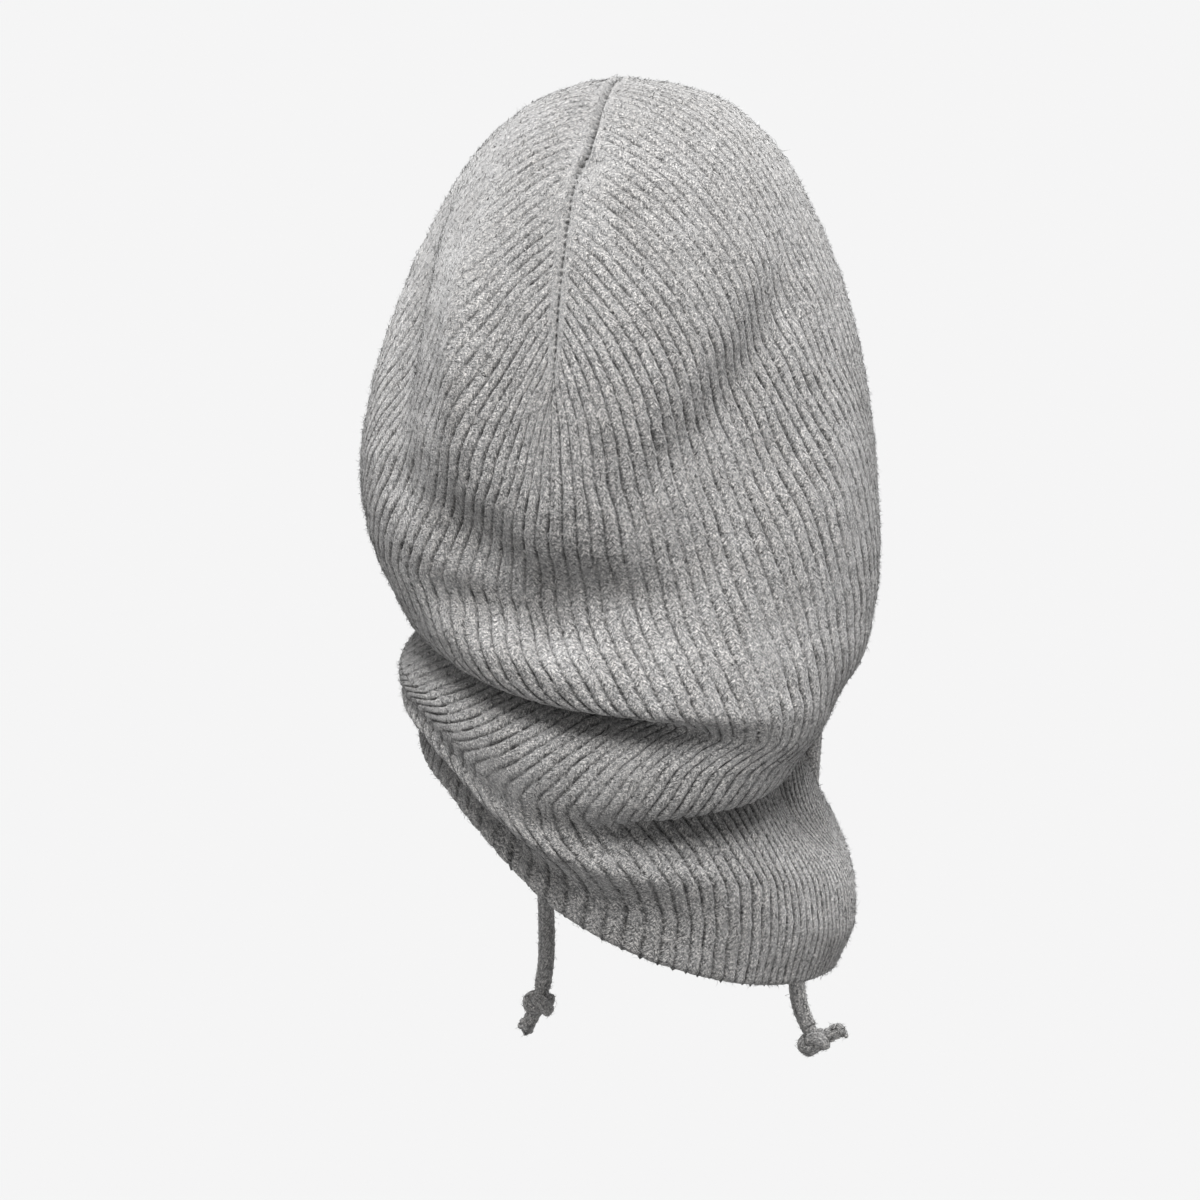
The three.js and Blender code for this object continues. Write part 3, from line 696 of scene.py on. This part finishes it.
# One face of the wall as a grid of knit, rounded over at the hem, with the row of each of its faces.
# Side 0 is the outer face, and the ribs of the inner one lie half a rib further on.
def wall_face(side, places, rows):
    rib = np.append((np.arange(-RIBS_SIDE, RIBS_SIDE)[:, None] + places).ravel(), RIBS_SIDE)
    curl = np.radians(HEM_CURL[side])
    azimuth, drop, above_hem, aside = knit_places(rib, rows, curl)
    faces = sample(OUTER_GRID, azimuth, drop), sample(INNER_GRID, azimuth, drop)
    base, other = faces[side], faces[1 - side]
    way = 1 - 2 * side
    normal = unit(sample(NORMAL_GRID, azimuth, drop)) * way
    down = unit(np.gradient(base, axis=0))
    turned = np.concatenate([np.zeros(rows), curl])[:, None, None]
    lift, taken, painted_seam_shade = seam_relief(aside, azimuth, drop)
    if side:
        lift = np.abs(lift)
    strength = rib_strength(base) * (1 - taken)
    wale = rib[None] + 0.5 * side
    lift = lift + rib_relief(wale, above_hem, strength)
    uneven = soft_noise(base[..., 0] * UNEVEN["rate"] + 40, base[..., 2] * UNEVEN["rate"] + 90, 11)
    lift = lift + UNEVEN["height"] * uneven
    points = base + (other - base) * (1 - np.cos(turned)) / 2
    points = points + lift[..., None] * (np.cos(turned) * normal + np.sin(turned) * down)
    points, quads, normals = grid_surface(points, grid_normals(points) * way, way)
    uv = np.stack([np.broadcast_to(wale, drop.shape), above_hem / RIB["width"]], -1).reshape(-1, 2)
    centre_azimuth = (azimuth[:-1, :-1] + azimuth[1:, 1:]) / 2
    centre_drop = (drop[:-1, :-1] + drop[1:, 1:]) / 2
    kept = ~in_opening(centre_azimuth, centre_drop, WALL_EDGE).ravel()
    quad_row = np.arange(len(quads)) // (drop.shape[1] - 1)
    # The seam mark carries the painted shade of the seam's crease and pinch, on the outer face only.
    marks = {"felt": 1 - strength, "seam": painted_seam_shade * (1 - side)}
    return (points, quads[kept], normals), uv, marks, quad_row[kept]


def hood_wall(material, fibres):
    surface, uv, marks, quad_row = wall_face(0, OUTER["places"], OUTER["rows"])
    points, quads, normals = surface
    edges = np.linspace(0, quad_row[-1] + 1, len(OUTER_BANDS) + 1).astype(int)
    for name, low, high in zip(OUTER_BANDS, edges[:-1], edges[1:]):
        band = quads[(quad_row >= low) & (quad_row < high)]
        new_piece(name, (points, band, normals), uv, material, SHELL_PLACE, marks)
    for number in range(2):
        grow_fuzz(f"hood_fuzz_{number}", surface, FUZZ["outer"], fibres, SHELL_PLACE, number)


def hood_lining(material, fibres):
    surface, uv, marks, _ = wall_face(1, INNER["places"], INNER["rows"])
    new_piece("hood_lining", surface, uv, material, SHELL_PLACE, marks)
    grow_fuzz("lining_fuzz", surface, FUZZ["lining"], fibres, SHELL_PLACE, 2)


# The casing: a flat tube round the face opening, its ribs square to the edge, drawn into gathers.
def face_casing(material, fibres):
    columns = CASING["ribs"] * CASING["columns"]
    share = np.arange(columns + 1) / columns
    turn = 2 * np.pi * np.arange(CASING["sides"] + 1)[:, None] / CASING["sides"]
    sway = CASING["gather_sway"] * np.sin(6 * np.pi * share)
    gather = np.cos(2 * np.pi * CASING["gathers"] * share + sway)[None]
    middle = (CASING["inner_edge"] + CASING["outer_edge"]) / 2
    half = (CASING["inner_edge"] - CASING["outer_edge"]) / 2
    pulled = CASING["gather_pull"] * gather * np.clip(np.cos(turn), 0, 1)
    inwards = middle + half * np.cos(turn) + pulled
    high = signed_power(np.sin(turn), CASING["flatness"])
    height = CASING["half_thick"] * (1 + CASING["gather_height"] * gather) * high
    oval = 2 * np.pi * share[None]
    across, along = (signed_power(part, 2 / FACE["power"]) for part in (np.cos(oval), np.sin(oval)))
    azimuth = 180 + (FACE["half_angle"] - inwards / DEGREE_LENGTH) * across
    drop = FACE["drop"] + (FACE["half_drop"] - inwards) * along
    normal = unit(sample(NORMAL_GRID, azimuth, drop))
    points = sample(OUTER_GRID, azimuth, drop) + (height - WALL / 2)[..., None] * normal
    normals = grid_normals(points)
    around = np.broadcast_to(share * CASING["ribs"], drop.shape)
    relief = CASING["rib_share"] * rib_relief(around, inwards)
    relief = relief * smoothstep(inwards, CASING["outer_edge"], CASING["rib_start"])
    way = np.sign((normals * height[..., None] * normal).sum())
    points = points + relief[..., None] * normals * way
    surface = grid_surface(points, grid_normals(points) * way, way)
    uv = np.stack([around, inwards / RIB["width"] + 8 * (high > 0)], -1).reshape(-1, 2)
    place = ("face_casing", "casing_rib")
    new_piece("casing_knit", surface, uv, material, place)
    grow_fuzz("casing_fuzz", surface, FUZZ["casing"], fibres, place, 3)


# Fibres that have worked loose: thin bent ribbons from random places on the faces of a surface.
def grow_fuzz(name, surface, count, material, place, seed):
    points, quads, normals = surface
    random = np.random.default_rng(SEED + 20 + seed)
    corner = points[quads]
    area = np.linalg.norm(np.cross(corner[:, 2] - corner[:, 0], corner[:, 3] - corner[:, 1]), axis=1)
    chosen = random.choice(len(quads), count, p=area / area.sum())
    fx, fy = random.random((2, count, 1))
    corner, facing = corner[chosen], normals[quads[chosen]]

    def within(values):
        near = values[:, 0] * (1 - fx) + values[:, 1] * fx
        far = values[:, 3] * (1 - fx) + values[:, 2] * fx
        return near * (1 - fy) + far * fy

    def draw(limits):
        return random.uniform(*limits, (count, 1))

    root, normal = within(corner), unit(within(facing))
    long_one = random.random((count, 1)) < FIBRE["long_share"]
    length = draw(FIBRE["length"]) * np.where(long_one, FIBRE["long_scale"], 1)
    scatter = random.normal(size=(3, count, 3))
    tangent = unit(scatter[0] - (scatter[0] * normal).sum(1, keepdims=True) * normal)
    slope = np.radians(draw(FIBRE["slope"]))
    first = tangent * np.cos(slope) + normal * np.sin(slope)
    second = unit(first + FIBRE["bend"] * scatter[1] - normal * draw(FIBRE["droop"]))
    roll = draw((0, np.pi))
    side = unit(np.cross(first, normal)) * np.cos(roll) + normal * np.sin(roll)
    side = side * draw(FIBRE["width"]) / 2
    middle = root + first * length * 0.5
    tip = middle + second * length * 0.5
    root = root - first * FIBRE["rooted"]
    ribbon = np.stack([root - side, root + side, middle - side, middle + side, tip], 1)
    start = np.arange(count)[:, None] * ribbon.shape[1]
    corners = np.concatenate([start + [0, 1, 2], start + [1, 3, 2], start + [2, 3, 4]])
    shade = unit(normal + FIBRE["shade"] * scatter[2])
    uv = np.stack([random.random(count), random.random(count)], -1)
    shade, uv = (np.repeat(values, ribbon.shape[1], 0) for values in (shade, uv))
    new_piece(name, (ribbon.reshape(-1, 3), corners, shade), uv, material, place)


# Points at equal steps along a centripetal Catmull-Rom curve through the route's, and its length.
def smooth_route(route, count):
    points = np.array(route, float)
    points = np.concatenate([[2 * points[0] - points[1]], points, [2 * points[-1] - points[-2]]])
    knots = lengths_along(points, 0.5)
    fine = []
    for k in range(1, len(points) - 2):
        t = np.linspace(knots[k], knots[k + 1], CORD["curve_steps"], endpoint=False)[:, None]

        def between(low, high, start, end):
            span = knots[high] - knots[low]
            return start * (knots[high] - t) / span + end * (t - knots[low]) / span

        a1 = between(k - 1, k, points[k - 1], points[k])
        a2 = between(k, k + 1, points[k], points[k + 1])
        a3 = between(k + 1, k + 2, points[k + 1], points[k + 2])
        b1, b2 = between(k - 1, k + 1, a1, a2), between(k, k + 2, a2, a3)
        fine.append(between(k, k + 1, b1, b2))
    fine = np.concatenate([*fine, points[-2:-1]])
    along = lengths_along(fine)
    wanted = np.linspace(0, along[-1], count)
    return np.stack([np.interp(wanted, along, fine[:, axis]) for axis in range(3)], -1), along[-1]


# A knitted tube along a line of points: rows of small V stitches in a few wales.
def knitted_tube(path, radius, wales, sides, stitch, depth):
    way = unit(np.gradient(path, axis=0))
    across = np.empty_like(path)
    start = np.eye(3)[np.argmin(np.abs(way[0]))]
    for k in range(len(path)):
        start = unit(start - np.dot(start, way[k]) * way[k])
        across[k] = start
    upwards = np.cross(way, across)
    along = lengths_along(path)[:, None]
    turn = np.linspace(0, 2 * np.pi, sides + 1)[None]
    wale = np.abs(np.cos(turn * wales / 2))
    stitches = np.cos(2 * np.pi * (along / stitch - STITCH_V["slant"] * wale))
    stitches = stitches * (STITCH_V["in_valleys"] + (1 - STITCH_V["in_valleys"]) * wale)
    size = np.broadcast_to(np.asarray(radius), (len(path),))[:, None]
    size = size * (1 + depth * (wale - STITCH_V["wale_mean"] + STITCH_V["height"] * stitches))
    ring = np.cos(turn)[..., None] * across[:, None] + np.sin(turn)[..., None] * upwards[:, None]
    points = path[:, None] + size[..., None] * ring
    around = np.broadcast_to(turn * wales / (2 * np.pi), size.shape)
    uv = np.stack([around + 0.5, np.broadcast_to(along / RIB["width"], size.shape)], -1)
    return points, uv


# Several tubes as one surface, and its UVs.
def joined(parts):
    first, arrays = 0, []
    for points, uv in parts:
        normals = grid_normals(points)
        outward = points - points[:, :-1].mean(1, keepdims=True)
        way = np.sign((normals * outward).sum())
        points, quads, normals = grid_surface(points, normals * way, way)
        arrays.append((points, quads + first, normals, uv.reshape(-1, 2)))
        first += len(points)
    points, quads, normals, uv = (np.concatenate(column) for column in zip(*arrays))
    return (points, quads, normals), uv


# A tight overhand knot: the cord's end running in, wound on itself in three lobes, and its frayed tail.
def knot_parts(path, tail, seed):
    random = np.random.default_rng(SEED + seed)
    axis = unit(path[-1] - path[-2])
    centre = path[-1] + axis * KNOT["inset"]
    neck = path[-6] + (centre - path[-6]) * np.linspace(0, 1, 16)[:, None]
    parts = [knitted_tube(neck, KNOT["neck"], **CORD_KNIT)]
    t = np.linspace(0, 2 * np.pi, 120)
    lobes = np.stack([np.sin(t) + 2 * np.sin(2 * t), -1.1 * np.sin(3 * t), np.cos(t) - 2 * np.cos(2 * t)], -1)
    across = unit(np.cross(axis, [0.3, 1.0, 0.2]))
    frame_axes = np.stack([across, axis, np.cross(across, axis)])
    ring = centre + KNOT["lobe_scale"] * lobes @ frame_axes
    parts.append(knitted_tube(ring, KNOT["strand"], **LOBE_KNIT))
    tail_way = unit(np.array(tail, float))
    along = np.linspace(0, 1, 20)[:, None]
    tail_path = centre + tail_way * KNOT["tail"] * along
    tail_path = tail_path + np.cross(tail_way, axis) * KNOT["tail_bend"] * along**2
    size = KNOT["strand"] * np.linspace(*KNOT["tail_size"], len(tail_path))
    size[-3:] = size[-3:] * KNOT["tail_end"]
    parts.append(knitted_tube(tail_path, size, **TAIL_KNIT))
    for _ in range(KNOT["strands"]):
        spread = random.normal(size=3)
        aside = unit(spread - np.dot(spread, tail_way) * tail_way)
        strand = [tail_path[-4] + aside * random.uniform(*KNOT["strand_from"])]
        way = unit(tail_way + 0.8 * aside + 0.3 * random.normal(size=3))
        curl = unit(np.cross(aside, tail_way) + 0.5 * random.normal(size=3))
        curl = curl * random.uniform(*KNOT["strand_curl"])
        for _ in range(random.integers(*KNOT["strand_steps"])):
            way = unit(way + np.cross(curl, way) + 0.12 * random.normal(size=3))
            strand.append(strand[-1] + way * KNOT["strand_step"])
        size = np.linspace(1, 0.85, len(strand)) * random.uniform(*KNOT["yarn"])
        size[-1] = size[-1] * 0.4
        parts.append(knitted_tube(np.array(strand), size, **STRAND_KNIT))
    return parts


# One free end of the drawcord, and its knot.
def drawcord(side, cord, number, material, fibres):
    path, length = smooth_route(cord["route"], CORD["rings"])
    size = np.full(len(path), CORD["diameter"] / 2)
    size[0] = size[-1] = CORD["closed_end"]
    parts = {
        "drawcord": [knitted_tube(path, size, **CORD_KNIT)],
        "knot": knot_parts(path, cord["tail"], 40 + number),
    }
    for kind, seed in (("drawcord", 4), ("knot", 6)):
        node = f"{kind}_{side}"
        surface, uv = joined(parts[kind])
        new_piece(f"{node}_knit", surface, uv, material, (node, "cord_knit"))
        grow_fuzz(f"{node}_fuzz", surface, FUZZ[kind], fibres, (node, "cord_knit"), seed + number)


def new_material(name, roughness, specular):
    material = bpy.data.materials.new(name)
    material.use_nodes = True
    shader = material.node_tree.nodes["Principled BSDF"]
    shader.inputs["Roughness"].default_value = roughness
    shader.inputs["Specular IOR Level"].default_value = specular
    return material, material.node_tree, shader


# One shader node with its settings and inputs, where an input is a value or another node's socket.
def add_node(tree, kind, inputs=(), **settings):
    node = tree.nodes.new(kind)
    for name, value in settings.items():
        setattr(node, name, value)
    for place, value in dict(inputs).items():
        if isinstance(value, bpy.types.NodeSocket):
            tree.links.new(value, node.inputs[place])
        else:
            node.inputs[place].default_value = value
    return node


# A ramp through rows of greys, whose tones are shares of one tone.
def grey_ramp(tree, value, rows, tone=1.0):
    node = add_node(tree, "ShaderNodeValToRGB", {"Fac": value})
    ramp = node.color_ramp
    for place, (position, share, warm) in enumerate(rows):
        stop = ramp.elements[place] if place < 2 else ramp.elements.new(position)
        stop.position = position
        stop.color = (*grey(tone * share, warm), 1)
    return node.outputs["Color"]


def multiply_colours(tree, first, second):
    node = add_node(tree, "ShaderNodeMix", data_type="RGBA", blend_type="MULTIPLY")
    node.inputs["Factor"].default_value = 1.0
    tree.links.new(first, node.inputs[6])
    tree.links.new(second, node.inputs[7])
    return node.outputs[2]


# A grey whose red is raised and whose blue is lowered as far as it is warm.
def grey(value, warm=0.0):
    return (value * (1 + warm), value, value * (1 - warm))


# Felted wool of light and dark fibres that run with the slant of the V stitches, with painted shade in the
# broken valleys between the ribs and faint dark lines between the stitches.
def wool_material(name, tone, stitches, painted_valley_shade):
    material, tree, shader = new_material(name, 0.95, 0.15)

    def calc(operation, *values):
        return add_node(tree, "ShaderNodeMath", enumerate(values), operation=operation).outputs[0]

    def spread(value, low, high, to_low=0.0, to_high=1.0):
        inputs = {"Value": value, "From Min": low, "From Max": high, "To Min": to_low, "To Max": to_high}
        return add_node(tree, "ShaderNodeMapRange", inputs).outputs[0]

    def noise(kind, vector):
        return add_node(tree, "ShaderNodeTexNoise", {"Vector": vector, **NOISES[kind]}).outputs["Fac"]

    def mark(key):
        return add_node(tree, "ShaderNodeAttribute", attribute_name=key).outputs["Fac"]

    place = add_node(tree, "ShaderNodeTexCoord").outputs
    split = add_node(tree, "ShaderNodeSeparateXYZ", {0: place["UV"]}).outputs
    rib, along = split["X"], split["Y"]

    def drawn_out(kind, value):
        down = calc("MULTIPLY", value, DRAWN_OUT[kind])
        return noise(kind, add_node(tree, "ShaderNodeCombineXYZ", {"X": rib, "Y": down}).outputs[0])

    aside = calc("ABSOLUTE", calc("SUBTRACT", calc("FRACT", rib), 0.5))
    stitch = calc("ADD", calc("MULTIPLY", along, STITCH["rate"]), calc("MULTIPLY", aside, STITCH["slant"]))
    fibres = calc("MULTIPLY", drawn_out("fibres", stitch), MELANGE["fibres"])
    grain = calc("MULTIPLY", noise("grain", place["Object"]), MELANGE["grain"])
    felt = mark("felt")
    melange = calc("SUBTRACT", calc("ADD", fibres, grain), 0.5)
    melange = calc("ADD", calc("MULTIPLY", melange, spread(felt, *SPREADS["contrast"])), 0.5)
    colour = grey_ramp(tree, melange, FIBRE_TONES, tone)
    clouds = grey_ramp(tree, noise("clouds", place["Object"]), CLOUD_TONES)
    colour = multiply_colours(tree, colour, clouds)
    shown = spread(felt, *SPREADS["shown"])
    breaks = spread(drawn_out("breaks", along), *SPREADS["breaks"])
    # Painted shade in the rib valleys, broken up along them and faded where the felt hides the ribs.
    valley = calc("MULTIPLY", spread(aside, *SPREADS["valley"]), breaks)
    valley = calc("MULTIPLY", valley, shown)
    felted = spread(noise("felted", place["Object"]), *SPREADS["felted"])
    felted = calc("MULTIPLY", felted, calc("MULTIPLY", shown, stitches))
    wave = calc("COSINE", calc("MULTIPLY", stitch, 2 * np.pi))
    line = calc("MULTIPLY", spread(wave, *SPREADS["line"]), felted)
    # Painted shade: the colour is darkened in the valleys and lifted a little on the ridges, then darkened
    # under the stitch lines.
    shade = spread(valley, 0.0, 1.0, 1.05, painted_valley_shade)
    shade = calc("MULTIPLY", shade, spread(line, *SPREADS["line_shade"]))
    # Painted shade along the crown seam's crease and in its pinch, taken from the seam mark.
    shade = calc("MULTIPLY", shade, spread(mark("seam"), *SPREADS["seam_shade"]))
    shade = add_node(tree, "ShaderNodeCombineColor", {0: shade, 1: shade, 2: shade}).outputs[0]
    colour = multiply_colours(tree, colour, shade)
    height = calc("MULTIPLY", melange, BUMP["melange"])
    height = calc("SUBTRACT", height, calc("MULTIPLY", line, BUMP["line"]))
    bump = {"Strength": BUMP["strength"], "Distance": BUMP["distance"], "Height": height}
    tree.links.new(colour, shader.inputs["Base Color"])
    tree.links.new(add_node(tree, "ShaderNodeBump", bump).outputs[0], shader.inputs["Normal"])
    shader.inputs["Sheen Weight"].default_value = 0.3
    shader.inputs["Sheen Roughness"].default_value = 0.4
    return material


# The loose fibres' material: each one is lighter or darker than the wool under it.
def fuzz_material():
    material, tree, shader = new_material("loose_fibres", 0.9, 0.2)
    place = add_node(tree, "ShaderNodeTexCoord").outputs
    split = add_node(tree, "ShaderNodeSeparateXYZ", {0: place["UV"]}).outputs
    tree.links.new(grey_ramp(tree, split["X"], LOOSE_TONES), shader.inputs["Base Color"])
    return material


def make_stage():
    mesh = bpy.data.meshes.new("floor")
    half = FLOOR["half_width"]
    corners = [(x * half, y * half, FLOOR["height"]) for x, y in ((-1, -1), (1, -1), (1, 1), (-1, 1))]
    mesh.from_pydata(corners, [], [(0, 1, 2, 3)])
    material, _, shader = new_material("pale_floor", 1.0, 0.0)
    shader.inputs["Base Color"].default_value = (*grey(FLOOR["grey"]), 1)
    mesh.materials.append(material)
    floor = new_object("floor", mesh)
    world = bpy.data.worlds.new("soft_light")
    world.use_nodes = True
    world.node_tree.nodes["Background"].inputs["Color"].default_value = (1, 1, 1, 1)
    world.node_tree.nodes["Background"].inputs["Strength"].default_value = LIGHT["world"]
    bpy.context.scene.world = world
    data = bpy.data.lights.new("overhead", "SUN")
    data.energy = LIGHT["overhead"]
    data.angle = np.radians(LIGHT["overhead_angle"])
    turn_towards(new_object("overhead", data), Vector(LIGHT["overhead_from"]))
    bpy.context.scene.view_settings.view_transform = "Standard"


# Turns an object so that its back faces a way.
def turn_towards(thing, way):
    thing.rotation_mode = "QUATERNION"
    thing.rotation_quaternion = way.to_track_quat("Z", "Y")


def make_camera():
    azimuth, elevation = np.radians(CAMERA["azimuth"]), np.radians(CAMERA["elevation"])
    level = np.cos(elevation)
    back = Vector((np.sin(azimuth) * level, -np.cos(azimuth) * level, np.sin(elevation)))
    right = Vector((np.cos(azimuth), np.sin(azimuth), 0))
    data = bpy.data.cameras.new("camera")
    data.sensor_width = CAMERA_SENSOR
    data.lens = CAMERA_SENSOR * CAMERA["distance"] / CAMERA["width_at_object"]
    data.clip_end = 200
    camera = new_object("camera", data)
    aim = right * CAMERA_AIM["right"] + Vector((0, 0, CAMERA_AIM["up"]))
    camera.location = aim + back * CAMERA["distance"]
    turn_towards(camera, back)
    bpy.context.scene.camera = camera


make_camera()
make_stage()
loose_fibres = fuzz_material()
wools = {name: wool_material(name, **wool) for name, wool in WOOLS.items()}
hood_wall(wools["felted_wool"], loose_fibres)
hood_lining(wools["felted_wool"], loose_fibres)
face_casing(wools["casing_wool"], loose_fibres)
for number, (side, cord) in enumerate(DRAWCORDS.items()):
    drawcord(side, cord, number, wools["cord_wool"], loose_fibres)
